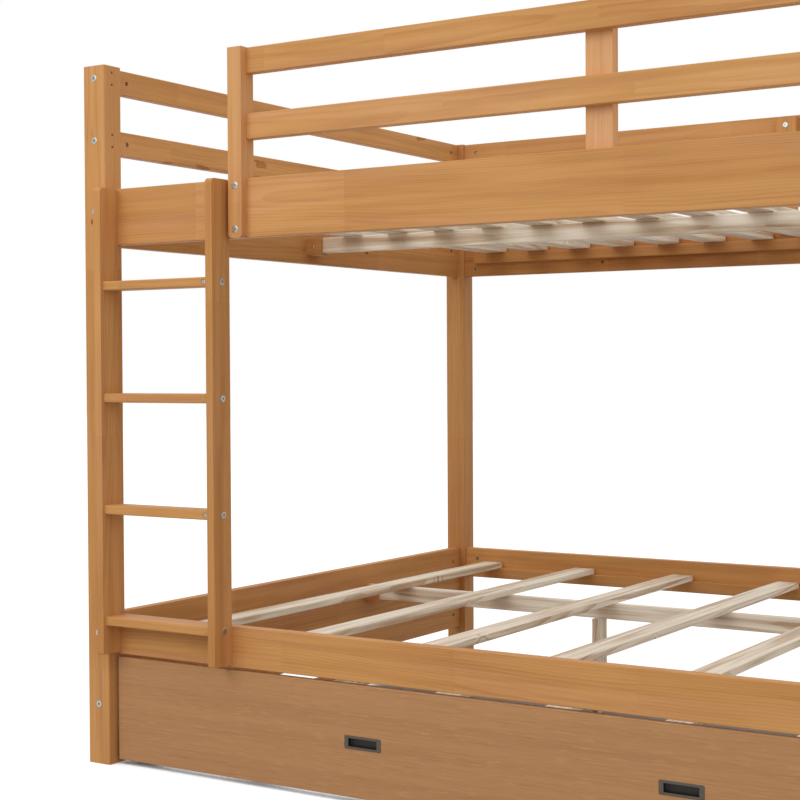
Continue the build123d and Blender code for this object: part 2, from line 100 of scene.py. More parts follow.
class BedHardwareSettings(bpy.types.PropertyGroup):
    """Sizes and colours of the bolts, barrel nuts, pulls and casters."""
    socket_width: length_property("Socket Width", "Across the flats of a bolt's hex socket", 5.0)
    socket_depth: length_property("Socket Depth", "Depth of a bolt's hex socket", 2.6)
    head_chamfer: length_property("Head Chamfer", "Chamfer round a bolt or nut", 0.5)
    head_sink: length_property("Head Sink", "Depth of a bolt's counterbore over its head", 1.5)
    rim_width: length_property("Bolt Rim", "Width of the rim that covers the counterbore", 15.5)
    rim_rise: length_property("Rim Rise", "How far a bolt's rim stands off the wood", 1.1)
    slot_width: length_property("Nut Slot Width", "Screwdriver slot in a barrel nut", 1.4)
    slot_depth: length_property("Nut Slot Depth", "Depth of a barrel nut's slot", 1.2)
    screw_width: length_property("Screw Head", "Width of a wood screw's head", 7.0)
    steel: colour_property("Zinc Plate", "Bolts, nuts, screws and casters", srgb(178, 176, 172))
    gunmetal: colour_property("Gunmetal", "The pulls' metal", srgb(92, 84, 74))
    # The pull's recess takes this near-black colour as painted shade
    pocket: colour_property("Pull Pocket", "The dark inside of a pull", srgb(30, 26, 21))
    wheel: colour_property("Wheel", "Moulded caster wheels", srgb(36, 36, 38))


class BedStudioSettings(bpy.types.PropertyGroup):
    """The camera's place and the studio's light."""
    camera_place: FloatVectorProperty(name="Camera Place", description="Where the camera stands",
                                      subtype="XYZ", unit="LENGTH", size=3,
                                      default=(1.47623, -3.5138, 0.88167))
    camera_yaw: FloatProperty(name="Turn", description="How far the camera is turned to the left",
                              subtype="ANGLE", default=math.radians(32.854))
    camera_pitch: FloatProperty(name="Pitch", description="Camera's tilt below level",
                                subtype="ANGLE", default=math.radians(1.123))
    camera_roll: FloatProperty(name="Roll", description="Camera's roll", subtype="ANGLE",
                               default=math.radians(-0.306))
    focal_pixels: FloatProperty(name="Focal Length", description="In the picture's pixels",
                                default=1634.3)
    middle_pixel: FloatProperty(name="Picture Middle", description="Where the lens axis meets the "
                                "picture, from its left edge, in pixels", default=383.5)
    key_power: FloatProperty(name="Key Light", description="Large soft light, front left",
                             unit="POWER", default=45.0)
    fill_power: FloatProperty(name="Fill Light", description="Soft light, front right",
                              unit="POWER", default=28.0)
    horizon_light: FloatProperty(name="Horizon Light", description="Room light from the sides",
                                 default=0.52)
    ceiling_light: FloatProperty(name="Ceiling Light", description="Room light from above",
                                 default=1.1)
    floor_size: length_property("Floor Size", "Side of the square floor", 40000)
    floor_colour: colour_property("Floor", "Floor and backdrop", srgb(165, 164, 162))


# Shader nodes

FLOAT = "NodeSocketFloat"
COLOUR = "NodeSocketColor"
VECTOR = "NodeSocketVector"


def link(tree, socket, value):
    """Give a socket a value, or a link from another socket."""
    if isinstance(value, bpy.types.NodeSocket):
        tree.links.new(value, socket)
    else:
        socket.default_value = value


def node(tree, kind, inputs=None, **settings):
    """A new shader node with its settings, and its inputs linked or set."""
    made = tree.nodes.new(kind)
    for name, value in settings.items():
        setattr(made, name, value)
    for name, value in (inputs or {}).items():
        link(tree, made.inputs[name], value)
    return made


def calc(tree, operation, *values, clamp=False):
    """The result of a Math node."""
    made = node(tree, "ShaderNodeMath", dict(enumerate(values)), operation=operation,
                use_clamp=clamp)
    return made.outputs[0]


def remap(tree, value, low, high, new_low=0.0, new_high=1.0, kind="SMOOTHSTEP"):
    """A value carried from one range to another, held inside it."""
    made = node(tree, "ShaderNodeMapRange",
                {"Value": value, "From Min": low, "From Max": high,
                 "To Min": new_low, "To Max": new_high}, interpolation_type=kind)
    return made.outputs["Result"]


def mixed(tree, factor, first, second):
    """One colour blended with another by a factor."""
    made = node(tree, "ShaderNodeMix", data_type="RGBA")
    sockets = {socket.identifier: socket for socket in made.inputs}
    link(tree, sockets["Factor_Float"], factor)
    link(tree, sockets["A_Color"], first)
    link(tree, sockets["B_Color"], second)
    return {socket.identifier: socket for socket in made.outputs}["Result_Color"]


def tinted(tree, colour, **changes):
    """A colour with another hue, saturation or value."""
    return node(tree, "ShaderNodeHueSaturation", {"Color": colour, **changes}).outputs[0]


def combined(tree, **parts):
    """A position put together from its X, Y and Z."""
    return node(tree, "ShaderNodeCombineXYZ", parts).outputs[0]


def separated(tree, position):
    """A position's X, Y and Z."""
    return node(tree, "ShaderNodeSeparateXYZ", {0: position}).outputs


def stretched(tree, position, repeats):
    """A position with each axis scaled by itself, for patterns that run along a board."""
    made = node(tree, "ShaderNodeVectorMath", {0: position, 1: repeats}, operation="MULTIPLY")
    return made.outputs[0]


def noise(tree, position, repeats, detail=2.0, roughness=0.5):
    """Smooth noise from 0 to 1."""
    made = node(tree, "ShaderNodeTexNoise", {"Vector": position, "Scale": repeats,
                                             "Detail": detail, "Roughness": roughness})
    return made.outputs["Fac"]


def grain(tree, position, repeats, detail=2.0, roughness=0.5):
    """Noise drawn out along a board."""
    return noise(tree, stretched(tree, position, repeats), 1.0, detail, roughness)


def chances(tree, cells):
    """Three random numbers for each cell of a Voronoi texture."""
    return node(tree, "ShaderNodeSeparateColor", {0: cells.outputs["Color"]}).outputs


def centred(tree, value):
    """A value from 0 to 1, moved down to lie evenly round 0."""
    return calc(tree, "SUBTRACT", value, 0.5)


def new_group(name, inputs, outputs):
    """An empty node group with named sockets, and its input and output nodes."""
    tree = bpy.data.node_groups.new(name, "ShaderNodeTree")
    for label, kind, value in inputs:
        socket = tree.interface.new_socket(label, in_out="INPUT", socket_type=kind)
        if value is not None:
            socket.default_value = value
    for label, kind in outputs:
        tree.interface.new_socket(label, in_out="OUTPUT", socket_type=kind)
    return tree, tree.nodes.new("NodeGroupInput"), tree.nodes.new("NodeGroupOutput")


SURFACE = [("Colour", COLOUR), ("Roughness", FLOAT), ("Height", FLOAT)]

# Sawn pine's patterns, in repeats per metre along the grain, across it and into the wood
PITH_DRIFT = (1.1, 5.0, 5.0)
RING_WANDER = (6.0, 30.0, 30.0)
FIBRES = (14.0, 900.0, 900.0)
STREAKS = (2.2, 55.0, 55.0)
CLOUDS = (3.0, 9.0, 9.0)
ROSY_PLACES = (2.0, 26.0, 26.0)
YEARS = 90.0
KNOT_CELLS = 4.6
PATCHES_ALONG = 22.0
PATCHES_ACROSS = 50.0

# Sawn pine's sizes in metres, and how strongly each pattern darkens it
FINGER = 4 * MM
KNOT_SQUEEZE = (0.4, 1.0, 0.0)
KNOT_BEND = 7 * MM
WANDER_BEND = 3.5 * MM
FIBRE_TONE = 0.4
CLOUD_TONE = 0.45
PATCH_TONE = 0.75
KNOT_RINGS = 900.0


def pith_distance(tree, along, across, deep, drift, chance):
    """How far a point is from the tree's middle, outside the board and drifting along it."""
    pith_across = calc(tree, "MULTIPLY_ADD", chance["Red"], 0.12, -0.06)
    pith_deep = calc(tree, "MULTIPLY_ADD", chance["Green"], 0.05, 0.03)
    drifted = calc(tree, "MULTIPLY_ADD", drift, 0.07, across)
    side = calc(tree, "ADD", drifted, pith_across)
    depth = calc(tree, "ADD", deep, pith_deep)
    square = calc(tree, "ADD", calc(tree, "MULTIPLY", side, side),
                  calc(tree, "MULTIPLY", depth, depth))
    lean = calc(tree, "MULTIPLY_ADD", chance["Blue"], 0.03, -0.015)
    return calc(tree, "MULTIPLY_ADD", along, lean, calc(tree, "SQRT", square))


def scattered_knots(tree, along, across, wander, share):
    """Knots here and there, the bend of the grain round them, and the distance from each."""
    cells = node(tree, "ShaderNodeTexVoronoi",
                 {"Vector": combined(tree, X=along, Y=across), "Scale": KNOT_CELLS},
                 voronoi_dimensions="2D")
    chance = chances(tree, cells)
    there = calc(tree, "LESS_THAN", chance["Red"], share)
    distance = calc(tree, "MULTIPLY_ADD", wander, 0.03, cells.outputs["Distance"])
    size = calc(tree, "MULTIPLY_ADD", chance["Green"], 0.026, 0.026)
    knot = calc(tree, "MULTIPLY", there,
                remap(tree, distance, size, calc(tree, "MULTIPLY", size, 0.55)))
    bend = calc(tree, "MULTIPLY", there,
                remap(tree, distance, calc(tree, "MULTIPLY", size, 4.0), 0.0))
    return knot, bend, distance


def placed_knot(tree, position, wander, spot, radius):
    """A knot at a chosen spot, longer along the grain, and the bend of the grain round it."""
    from_spot = node(tree, "ShaderNodeVectorMath", {0: position, 1: spot},
                     operation="SUBTRACT").outputs[0]
    distance = node(tree, "ShaderNodeVectorMath", {0: stretched(tree, from_spot, KNOT_SQUEEZE)},
                    operation="LENGTH").outputs["Value"]
    distance = calc(tree, "MULTIPLY_ADD", wander, 0.003, distance)
    knot = remap(tree, distance, radius, calc(tree, "MULTIPLY", radius, 0.6))
    bend = remap(tree, distance, calc(tree, "MULTIPLY", radius, 5.0), 0.0)
    return knot, bend


def late_wood(tree, reach, spacing):
    """The darker part of each growth ring, stronger in some years than in others."""
    ring = calc(tree, "FRACT", calc(tree, "DIVIDE", reach, spacing))
    late = calc(tree, "MULTIPLY", remap(tree, ring, 0.35, 0.9), remap(tree, ring, 1.0, 0.93))
    yearly = noise(tree, combined(tree, X=calc(tree, "MULTIPLY", reach, YEARS)), 1.0, 1.0)
    return calc(tree, "MULTIPLY", late, remap(tree, yearly, 0.3, 0.75, 0.25, 1.0))


def let_in_patches(tree, jointed, across, share):
    """1 on the short darker blocks that are let in between finger joints, and 0 elsewhere."""
    place = combined(tree, X=calc(tree, "MULTIPLY", jointed, PATCHES_ALONG),
                     Y=calc(tree, "MULTIPLY", across, PATCHES_ACROSS))
    cells = node(tree, "ShaderNodeTexVoronoi", {"Vector": place, "Scale": 1.0, "Randomness": 0.6},
                 voronoi_dimensions="2D", distance="CHEBYCHEV")
    return calc(tree, "LESS_THAN", chances(tree, cells)["Red"], share)


def board_group():
    """Sawn pine, X along the grain: growth rings, finger-jointed blocks, fibres and knots."""
    tree, into, out = new_group(
        "Sawn Pine",
        [("Position", VECTOR, None), ("Light", COLOUR, None), ("Deep", COLOUR, None),
         ("Knot", COLOUR, None), ("Ring Spacing", FLOAT, 0.0042), ("Ring Strength", FLOAT, 0.6),
         ("Block Length", FLOAT, 0.4), ("Block Tone", FLOAT, 0.1), ("Streaks", FLOAT, 0.3),
         ("Knot Share", FLOAT, 0.5), ("Patch Share", FLOAT, 0.0), ("Own Knot", VECTOR, None),
         ("Own Knot Radius", FLOAT, 0.0), ("Tone And Painted Shade", FLOAT, 0.0)], SURFACE)
    given = into.outputs
    position = given["Position"]
    parts = separated(tree, position)
    along, across, deep = parts["X"], parts["Y"], parts["Z"]

    # Blocks with a zigzag joint, each from another tree
    jointed = calc(tree, "ADD", along, calc(tree, "PINGPONG", across, FINGER))
    block_place = calc(tree, "DIVIDE", jointed, given["Block Length"])
    blocks = node(tree, "ShaderNodeTexVoronoi", {"W": block_place, "Scale": 1.0},
                  voronoi_dimensions="1D")
    chance = chances(tree, blocks)

    # Rings and knots
    drift = grain(tree, position, PITH_DRIFT)
    wander = grain(tree, position, RING_WANDER, 3.0)
    reach = pith_distance(tree, along, across, deep, drift, chance)
    knot, bend, knot_distance = scattered_knots(tree, along, across, wander, given["Knot Share"])
    own_knot, own_bend = placed_knot(tree, position, wander, given["Own Knot"],
                                     given["Own Knot Radius"])
    knot = calc(tree, "MAXIMUM", knot, own_knot)
    bend = calc(tree, "MAXIMUM", bend, own_bend)
    reach = calc(tree, "MULTIPLY_ADD", bend, KNOT_BEND, reach)
    reach = calc(tree, "MULTIPLY_ADD", wander, WANDER_BEND, reach)
    late = late_wood(tree, reach, given["Ring Spacing"])

    # How dark each place is, from everything that darkens it
    fibre = grain(tree, position, FIBRES, 3.0, 0.6)
    streak = grain(tree, position, STREAKS, 3.0, 0.55)
    patched = let_in_patches(tree, jointed, across, given["Patch Share"])
    # The board's own tone starts the sum; for boards at the back and inside of the bed it is
    # painted shade
    tone = given["Tone And Painted Shade"]
    for amount, strength in (
            (late, given["Ring Strength"]),
            (remap(tree, streak, 0.35, 0.75), given["Streaks"]),
            (centred(tree, fibre), FIBRE_TONE),
            (centred(tree, chance["Red"]), given["Block Tone"]),
            (centred(tree, grain(tree, position, CLOUDS)), CLOUD_TONE),
            (patched, PATCH_TONE)):
        tone = calc(tree, "MULTIPLY_ADD", amount, strength, tone)

    # Colour, from pale through light to deep, with rosy places and ringed knots
    pale = tinted(tree, given["Light"], Saturation=0.9, Value=1.2)
    light = mixed(tree, remap(tree, tone, -0.5, 0.0, kind="LINEAR"), pale, given["Light"])
    wood = mixed(tree, calc(tree, "MAXIMUM", tone, 0.0, clamp=True), light, given["Deep"])
    rosy = tinted(tree, wood, Hue=0.492, Saturation=0.95, Value=0.96)
    wood = mixed(tree, remap(tree, grain(tree, position, ROSY_PLACES), 0.4, 0.7, 0.0, 0.6),
                 wood, rosy)
    ripple = calc(tree, "SINE", calc(tree, "MULTIPLY", knot_distance, KNOT_RINGS))
    ringed = calc(tree, "MULTIPLY", knot, calc(tree, "MULTIPLY_ADD", ripple, 0.15, 0.8))
    link(tree, out.inputs["Colour"], mixed(tree, ringed, wood, given["Knot"]))

    rough = calc(tree, "MULTIPLY_ADD", fibre, 0.16, 0.44)
    link(tree, out.inputs["Roughness"], calc(tree, "MULTIPLY_ADD", late, -0.05, rough))
    height = calc(tree, "MULTIPLY_ADD", late, 0.35, calc(tree, "MULTIPLY", fibre, 0.5))
    link(tree, out.inputs["Height"], calc(tree, "MULTIPLY_ADD", knot, 0.4, height))
    return tree


# Veneer's patterns, in repeats per metre
VENEER_BANDS = (0.7, 60.0, 60.0)
VENEER_LINES = (5.0, 420.0, 420.0)
VENEER_PORES = (16.0, 700.0, 700.0)
VENEER_FLECKS = (20.0, 230.0, 230.0)
VENEER_TONE = 0.05


def veneer_group():
    """Straight-grained veneer, X along the grain: dark pores and pale flecks over faint bands."""
    tree, into, out = new_group(
        "Straight Veneer",
        [("Position", VECTOR, None), ("Light", COLOUR, None), ("Deep", COLOUR, None)], SURFACE)
    position = into.outputs["Position"]
    bands = grain(tree, position, VENEER_BANDS, 4.0, 0.6)
    lines = grain(tree, position, VENEER_LINES)
    pores = grain(tree, position, VENEER_PORES, 1.0)
    flecks = grain(tree, position, VENEER_FLECKS, 1.0)
    tone = VENEER_TONE
    for pattern, low, high, strength in ((bands, 0.3, 0.7, 0.25), (lines, 0.4, 0.7, 0.12),
                                         (pores, 0.58, 0.72, 0.3), (flecks, 0.58, 0.72, -0.55)):
        tone = calc(tree, "MULTIPLY_ADD", remap(tree, pattern, low, high), strength, tone)
    tone = calc(tree, "MAXIMUM", tone, 0.0, clamp=True)
    link(tree, out.inputs["Colour"],
         mixed(tree, tone, into.outputs["Light"], into.outputs["Deep"]))
    link(tree, out.inputs["Roughness"], calc(tree, "MULTIPLY_ADD", lines, 0.2, 0.4))
    link(tree, out.inputs["Height"], calc(tree, "MULTIPLY", pores, -0.6))
    return tree


# Metal's and plastic's patterns, in repeats per metre
SCRATCHES = (3000.0, 220.0, 220.0)
METAL_MOTTLE = 420.0
PLASTIC_GRAIN = 2600.0
PLASTIC_DUST = 120.0


def metal_group():
    """Plated or painted metal: soft mottling, faint scratches and slightly worn colour."""
    tree, into, out = new_group(
        "Worn Metal",
        [("Position", VECTOR, None), ("Colour", COLOUR, None), ("Base Roughness", FLOAT, 0.3)],
        SURFACE)
    position = into.outputs["Position"]
    mottle = noise(tree, position, METAL_MOTTLE, 3.0)
    scratch = grain(tree, position, SCRATCHES)
    darker = tinted(tree, into.outputs["Colour"], Value=0.78)
    link(tree, out.inputs["Colour"],
         mixed(tree, remap(tree, mottle, 0.35, 0.7), into.outputs["Colour"], darker))
    link(tree, out.inputs["Roughness"],
         calc(tree, "MULTIPLY_ADD", scratch, 0.22, into.outputs["Base Roughness"]))
    link(tree, out.inputs["Height"], scratch)
    return tree


def plastic_group():
    """Moulded plastic: fine even texture, dusty in places."""
    tree, into, out = new_group(
        "Moulded Plastic", [("Position", VECTOR, None), ("Colour", COLOUR, None)], SURFACE)
    position = into.outputs["Position"]
    texture = noise(tree, position, PLASTIC_GRAIN)
    dust = noise(tree, position, PLASTIC_DUST, 4.0, 0.65)
    dusty = tinted(tree, into.outputs["Colour"], Value=2.2, Saturation=0.6)
    link(tree, out.inputs["Colour"],
         mixed(tree, remap(tree, dust, 0.55, 0.8, 0.0, 0.5), into.outputs["Colour"], dusty))
    link(tree, out.inputs["Roughness"], calc(tree, "MULTIPLY_ADD", texture, 0.2, 0.45))
    link(tree, out.inputs["Height"], texture)
    return tree


# Materials

WOOD_SHINE = 0.15
USUAL_SHINE = 0.5
BUMP_STRENGTH = 0.6
STAINED_BUMP = 0.25 * MM
BARE_BUMP = 0.6 * MM
VENEER_BUMP = 0.3 * MM
METAL_BUMP = 0.05 * MM
PLASTIC_BUMP = 0.08 * MM

made_groups = {}


def shared_group(make):
    """A node group that several materials use, made once."""
    if make.__name__ not in made_groups:
        made_groups[make.__name__] = make()
    return made_groups[make.__name__]


def finish(name, make_group, inputs, bump, metallic=0.0, shine=USUAL_SHINE, mapping=None):
    """A material whose colour, roughness and bump come from a node group on object coordinates."""
    material = bpy.data.materials.new(name)
    material.use_nodes = True
    tree = material.node_tree
    shader = tree.nodes["Principled BSDF"]
    position = node(tree, "ShaderNodeTexCoord").outputs["Object"]
    if mapping:
        position = node(tree, "ShaderNodeMapping", {"Vector": position, **mapping}).outputs[0]
    pattern = node(tree, "ShaderNodeGroup", node_tree=shared_group(make_group))
    for label, value in {"Position": position, **inputs}.items():
        link(tree, pattern.inputs[label], value)
    relief = node(tree, "ShaderNodeBump", {"Height": pattern.outputs["Height"],
                                           "Distance": bump, "Strength": BUMP_STRENGTH})
    link(tree, shader.inputs["Base Color"], pattern.outputs["Colour"])
    link(tree, shader.inputs["Roughness"], pattern.outputs["Roughness"])
    link(tree, shader.inputs["Normal"], relief.outputs[0])
    shader.inputs["Metallic"].default_value = metallic
    shader.inputs["Specular IOR Level"].default_value = shine
    return material


def metal_finish(name, colour, roughness, metallic=1.0):
    """A worn metal of one colour."""
    return finish(name, metal_group, {"Colour": colour, "Base Roughness": roughness}, METAL_BUMP,
                  metallic=metallic)


def stained_inputs(wood):
    """What every stained surface's pattern has in common."""
    return {"Light": wood.stain_light, "Deep": wood.stain_deep, "Knot": wood.stain_knot,
            "Ring Spacing": wood.ring_spacing, "Ring Strength": 0.3, "Streaks": 0.35,
            "Block Tone": 0.2}


# Boards

PATTERN_STEP = 3.17
STAINED_KNOT_SHARE = 0.05
PATCH_SHARE = 0.05

STAINED_BOARDS = [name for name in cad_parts
                  if name.startswith(("post_", "upper_rail", "lower_rail", "upper_end_rail",
                                      "lower_end_board", "guard_", "gate_upright", "ladder_stile",
                                      "ladder_rung", "upper_ledge", "lower_ledge", "beam_cradles",
                                      "trundle_back", "trundle_side", "trundle_ledge"))]
BARE_BOARDS = ["upper_slats", "lower_slats", "trundle_slats", "upper_beam", "lower_beam",
               "beam_leg_left", "beam_leg_right"]
PATCHED_BOARDS = ("guard_top_left", "guard_second_left", "gate_upright")

# The grain's way, then the width's, of nodes whose longest side isn't a board's length
GRAIN_ALONG = {"beam_cradles": ("X", "Z"), "upper_slats": ("Y", "X"), "lower_slats": ("Y", "X"),
               "trundle_slats": ("Y", "X")}

# A placed knot, as shares of the board's box from its lowest corner, and its radius
OWN_KNOTS = {"post_front_left": ((0.36, 0, 0.778), 5 * MM),
             "guard_second_left": ((1, 0.32, 0.5), 5 * MM),
             "lower_slats": ((0.14, 0.3, 1), 5 * MM),
             "upper_end_rail_left": ((1, 0.67, 0.35), 6 * MM)}

# Boards made lighter, below 0, or darker: partly stain that took differently, partly painted shade,
# as the boards at the back of the bed, inside its ends and under the upper deck are darkened for
# the shade there
STAIN_AND_SHADE_TONES = {"guard_upright_front": -0.5, "gate_upright": -0.25, "guard_second_front": -0.1,
               "post_back_left": 0.2, "upper_rail_back": 0.5, "upper_ledge_back": 0.4,
               "upper_end_rail_left": 0.25, "ladder_stile_left": 0.1, "ladder_stile_right": 0.15,
               "beam_cradles": 0.3, "lower_end_board_left": 0.15, "guard_second_left": -0.15}

dressed = []


def node_box(name):
    """A CAD node's lowest and highest corner."""
    low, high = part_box(name)
    return Vector(low), Vector(high)


def dress(name, material):
    """Give a CAD node its material."""
    for material_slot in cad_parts[name].material_slots:
        material_slot.material = material
    dressed.append(name)


def board_axes(name):
    """The way a board's grain runs, along its longest side, then the way its width runs."""
    low, high = node_box(name)
    size = high - low
    order = sorted("XYZ", key=lambda axis: -abs(size.dot(AXES[axis])))
    return GRAIN_ALONG.get(name, (order[0], order[1]))


def board_mapping(name):
    """Centres a board's pattern on it, with X along the grain and Y across its wide face."""
    along, across = board_axes(name)
    low, high = node_box(name)
    turn = Matrix([AXES[along], AXES[across], AXES[along].cross(AXES[across])])
    shift = turn @ ((low + high) / -2)
    shift.x += PATTERN_STEP * len(dressed)
    return {"Location": shift, "Rotation": turn.to_euler()}


def own_knot_inputs(name, mapping):
    """A board's one placed knot in its pattern's coordinates, with its radius."""
    if name not in OWN_KNOTS:
        return {}
    shares, radius = OWN_KNOTS[name]
    low, high = node_box(name)
    size = high - low
    spot = Vector([low[i] + shares[i] * size[i] for i in range(3)])
    return {"Own Knot": mapping["Rotation"].to_matrix() @ spot + mapping["Location"],
            "Own Knot Radius": radius}


def dress_board(name, label, inputs, bump):
    """Give a board its wood, with the pattern laid along it."""
    mapping = board_mapping(name)
    dress(name, finish(f"{label} {name}", board_group, {**inputs, **own_knot_inputs(name, mapping)},
                       bump, shine=WOOD_SHINE, mapping=mapping))


class BED_OT_stained_boards(bpy.types.Operator):
    """Stain every frame board, its grain along its length."""
    bl_idname = "bed.stained_boards"
    bl_label = "Stained Boards"

    def execute(self, context):
        wood = context.scene.bed_wood
        for name in sorted(STAINED_BOARDS):
            # Darker tones on the boards at the back and inside of the bed are painted shade
            inputs = {**stained_inputs(wood), "Block Length": wood.block_length,
                      "Knot Share": STAINED_KNOT_SHARE,
                      "Patch Share": PATCH_SHARE if name in PATCHED_BOARDS else 0.0,
                      "Tone And Painted Shade": STAIN_AND_SHADE_TONES.get(name, 0.0)}
            dress_board(name, "Stained pine", inputs, STAINED_BUMP)
        return {"FINISHED"}


class BED_OT_bare_boards(bpy.types.Operator):
    """Leave the slats, beams and legs as planed pale pine."""
    bl_idname = "bed.bare_boards"
    bl_label = "Bare Slats and Beams"

    def execute(self, context):
        wood = context.scene.bed_wood
        inputs = {"Light": wood.bare_light, "Deep": wood.bare_deep, "Knot": wood.bare_knot,
                  "Ring Spacing": wood.ring_spacing * 1.3, "Ring Strength": 0.8,
                  "Block Length": wood.block_length * 8, "Block Tone": 0.3, "Streaks": 1.0,
                  "Knot Share": 0.5, "Tone And Painted Shade": -0.15}
        for name in BARE_BOARDS:
            dress_board(name, "Bare pine", inputs, BARE_BUMP)
        return {"FINISHED"}


class BED_OT_trundle_front(bpy.types.Operator):
    """Veneer the trundle's front board."""
    bl_idname = "bed.trundle_front"
    bl_label = "Trundle Front"

    def execute(self, context):
        wood = context.scene.bed_wood
        name = "trundle_front"
        inputs = {"Light": wood.veneer_light, "Deep": wood.veneer_deep}
        dress(name, finish("Veneered front", veneer_group, inputs, VENEER_BUMP, shine=WOOD_SHINE,
                           mapping=board_mapping(name)))
        return {"FINISHED"}


# Reading the CAD's small solids

def points_box(points):
    """The lowest and highest corner round some points."""
    low = Vector([min(point[i] for point in points) for i in range(3)])
    high = Vector([max(point[i] for point in points) for i in range(3)])
    return low, high


def rounded_middle(points):
    """The middle of the box round some points, to a tenth of a millimetre."""
    low, high = points_box(points)
    return tuple(round(value, 4) for value in (low + high) / 2)


def loose_parts(name):
    """Each separate solid of a CAD node, as a list of its points."""
    copy = bmesh.new()
    copy.from_mesh(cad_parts[name].data)
    bmesh.ops.remove_doubles(copy, verts=copy.verts, dist=MM / 100)
    left = set(copy.verts)
    parts = []
    while left:
        reached = [left.pop()]
        points = []
        while reached:
            vertex = reached.pop()
            points.append(vertex.co.copy())
            for edge in vertex.link_edges:
                other = edge.other_vert(vertex)
                if other in left:
                    left.remove(other)
                    reached.append(other)
        parts.append(points)
    copy.free()
    return sorted(parts, key=rounded_middle)


def one_way(axis, sign):
    """A direction along one axis, one way or the other."""
    return Vector([sign if i == axis else 0 for i in range(3)])


def bolt_sizes(points):
    """A bolt's head end, the way it faces, its length, its head's height and both radii."""
    low, high = points_box(points)
    size = high - low
    axis = max(range(3), key=lambda i: size[i])
    middle = (low + high) / 2
    others = [i for i in range(3) if i != axis]

    def radius(point):
        return math.hypot(*(point[i] - middle[i] for i in others))

    head_radius = max(radius(point) for point in points)
    head_points = [point[axis] for point in points if radius(point) > head_radius * 0.9]
    outward = 1 if sum(head_points) / len(head_points) > middle[axis] else -1
    top = high[axis] if outward > 0 else low[axis]
    head_height = max(abs(top - value) for value in head_points)
    shank_radius = max(radius(point) for point in points
                       if abs(top - point[axis]) > head_height * 1.5)
    origin = Vector(middle)
    origin[axis] = top
    return origin, one_way(axis, outward), size[axis], head_height, head_radius, shank_radius


NUT_BOARDS = [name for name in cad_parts
              if name.startswith(("guard_top", "guard_second", "upper_rail", "lower_rail",
                                  "upper_end", "lower_end", "ladder_rung"))]


def holding_board(place):
    """The corners of the board that a barrel nut's middle lies in."""
    for board in NUT_BOARDS:
        low, high = node_box(board)
        if all(low[i] <= place[i] <= high[i] for i in range(3)):
            return low, high
    raise RuntimeError(f"No board holds a barrel nut at {tuple(place)}")


def nut_sizes(points):
    """A barrel nut's end at its board's nearest face, the way it faces, its length and radius."""
    low, high = points_box(points)
    middle = (low + high) / 2
    size = high - low
    board_low, board_high = holding_board(middle)
    axis = min((0, 1), key=lambda i: board_high[i] - board_low[i])
    room = {1: board_high[axis] - high[axis], -1: low[axis] - board_low[axis]}
    outward = min(room, key=room.get)
    origin = Vector(middle)
    origin[axis] = high[axis] if outward > 0 else low[axis]
    radius = max(size[i] for i in range(3) if i != axis) / 2
    return origin, one_way(axis, outward), size[axis], radius


# Shaping new pieces

ROUND_SEGMENTS = 24
SCREW_SEGMENTS = 20


def new_piece(name, shape, material, body, stands_for=()):
    """A piece made from a bmesh, with its material, on its body and in the CAD's place."""
    mesh = bpy.data.meshes.new(name)
    shape.to_mesh(mesh)
    shape.free()
    mesh.materials.append(material)
    piece = bpy.data.objects.new(name, mesh)
    bpy.context.scene.collection.objects.link(piece)
    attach(piece, body)
    if stands_for:
        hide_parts(*stands_for)
    return piece


def stamp(target, shape, origin, direction):
    """Add a shape to a piece, with its origin at a place and its +Z in a direction."""
    turn = AXES["Z"].rotation_difference(direction).to_matrix().to_4x4()
    shape.transform(Matrix.Translation(origin) @ turn)
    passing = bpy.data.meshes.new("passing")
    shape.to_mesh(passing)
    shape.free()
    target.from_mesh(passing)
    bpy.data.meshes.remove(passing)


def new_verts(made):
    """The vertices that an extrusion made."""
    return [item for item in made["geom"] if isinstance(item, bmesh.types.BMVert)]


def thicken(shape, bottom, height):
    """Make a flat face a closed block that starts at one height and rises by another."""
    bmesh.ops.translate(shape, verts=shape.verts, vec=(0, 0, bottom))
    bmesh.ops.reverse_faces(shape, faces=shape.faces)
    made = bmesh.ops.extrude_face_region(shape, geom=shape.faces[:])
    bmesh.ops.translate(shape, verts=new_verts(made), vec=(0, 0, height))


def round_stem(radius, bottom, height, segments=ROUND_SEGMENTS):
    """A closed round stem."""
    shape = bmesh.new()
    bmesh.ops.create_circle(shape, cap_ends=True, segments=segments, radius=radius)
    thicken(shape, bottom, height)
    return shape


def top_face(shape):
    """The face that lies highest."""
    return max(shape.faces, key=lambda face: face.calc_center_median().z)


def raise_face(shape, face, height):
    """Extrude one face straight up or down and give the new one."""
    made = bmesh.ops.extrude_face_region(shape, geom=[face])
    bmesh.ops.delete(shape, geom=[face], context="FACES_ONLY")
    bmesh.ops.translate(shape, verts=new_verts(made), vec=(0, 0, height))
    return next(item for item in made["geom"] if isinstance(item, bmesh.types.BMFace))


def inset_face(shape, face, thickness):
    """Inset one face, which stays the same face inside its new border."""
    bmesh.ops.inset_region(shape, faces=[face], thickness=thickness, use_even_offset=True)


def scale_face(shape, face, factor):
    """Scale one face about its middle."""
    middle = face.calc_center_median()
    bmesh.ops.scale(shape, verts=face.verts, vec=(factor, factor, 1),
                    space=Matrix.Translation(-middle))


def shape_hexagon(face, across_flats):
    """Move a round face's corners out to a hexagon."""
    sixth = math.pi / 3
    for vertex in face.verts:
        angle = math.atan2(vertex.co.y, vertex.co.x)
        from_flat = (angle % sixth) - sixth / 2
        radius = across_flats / 2 / math.cos(from_flat)
        vertex.co.x = radius * math.cos(angle)
        vertex.co.y = radius * math.sin(angle)


# Bolts

RIM_SLOPE = 3
SOCKET_CORNER = 0.62


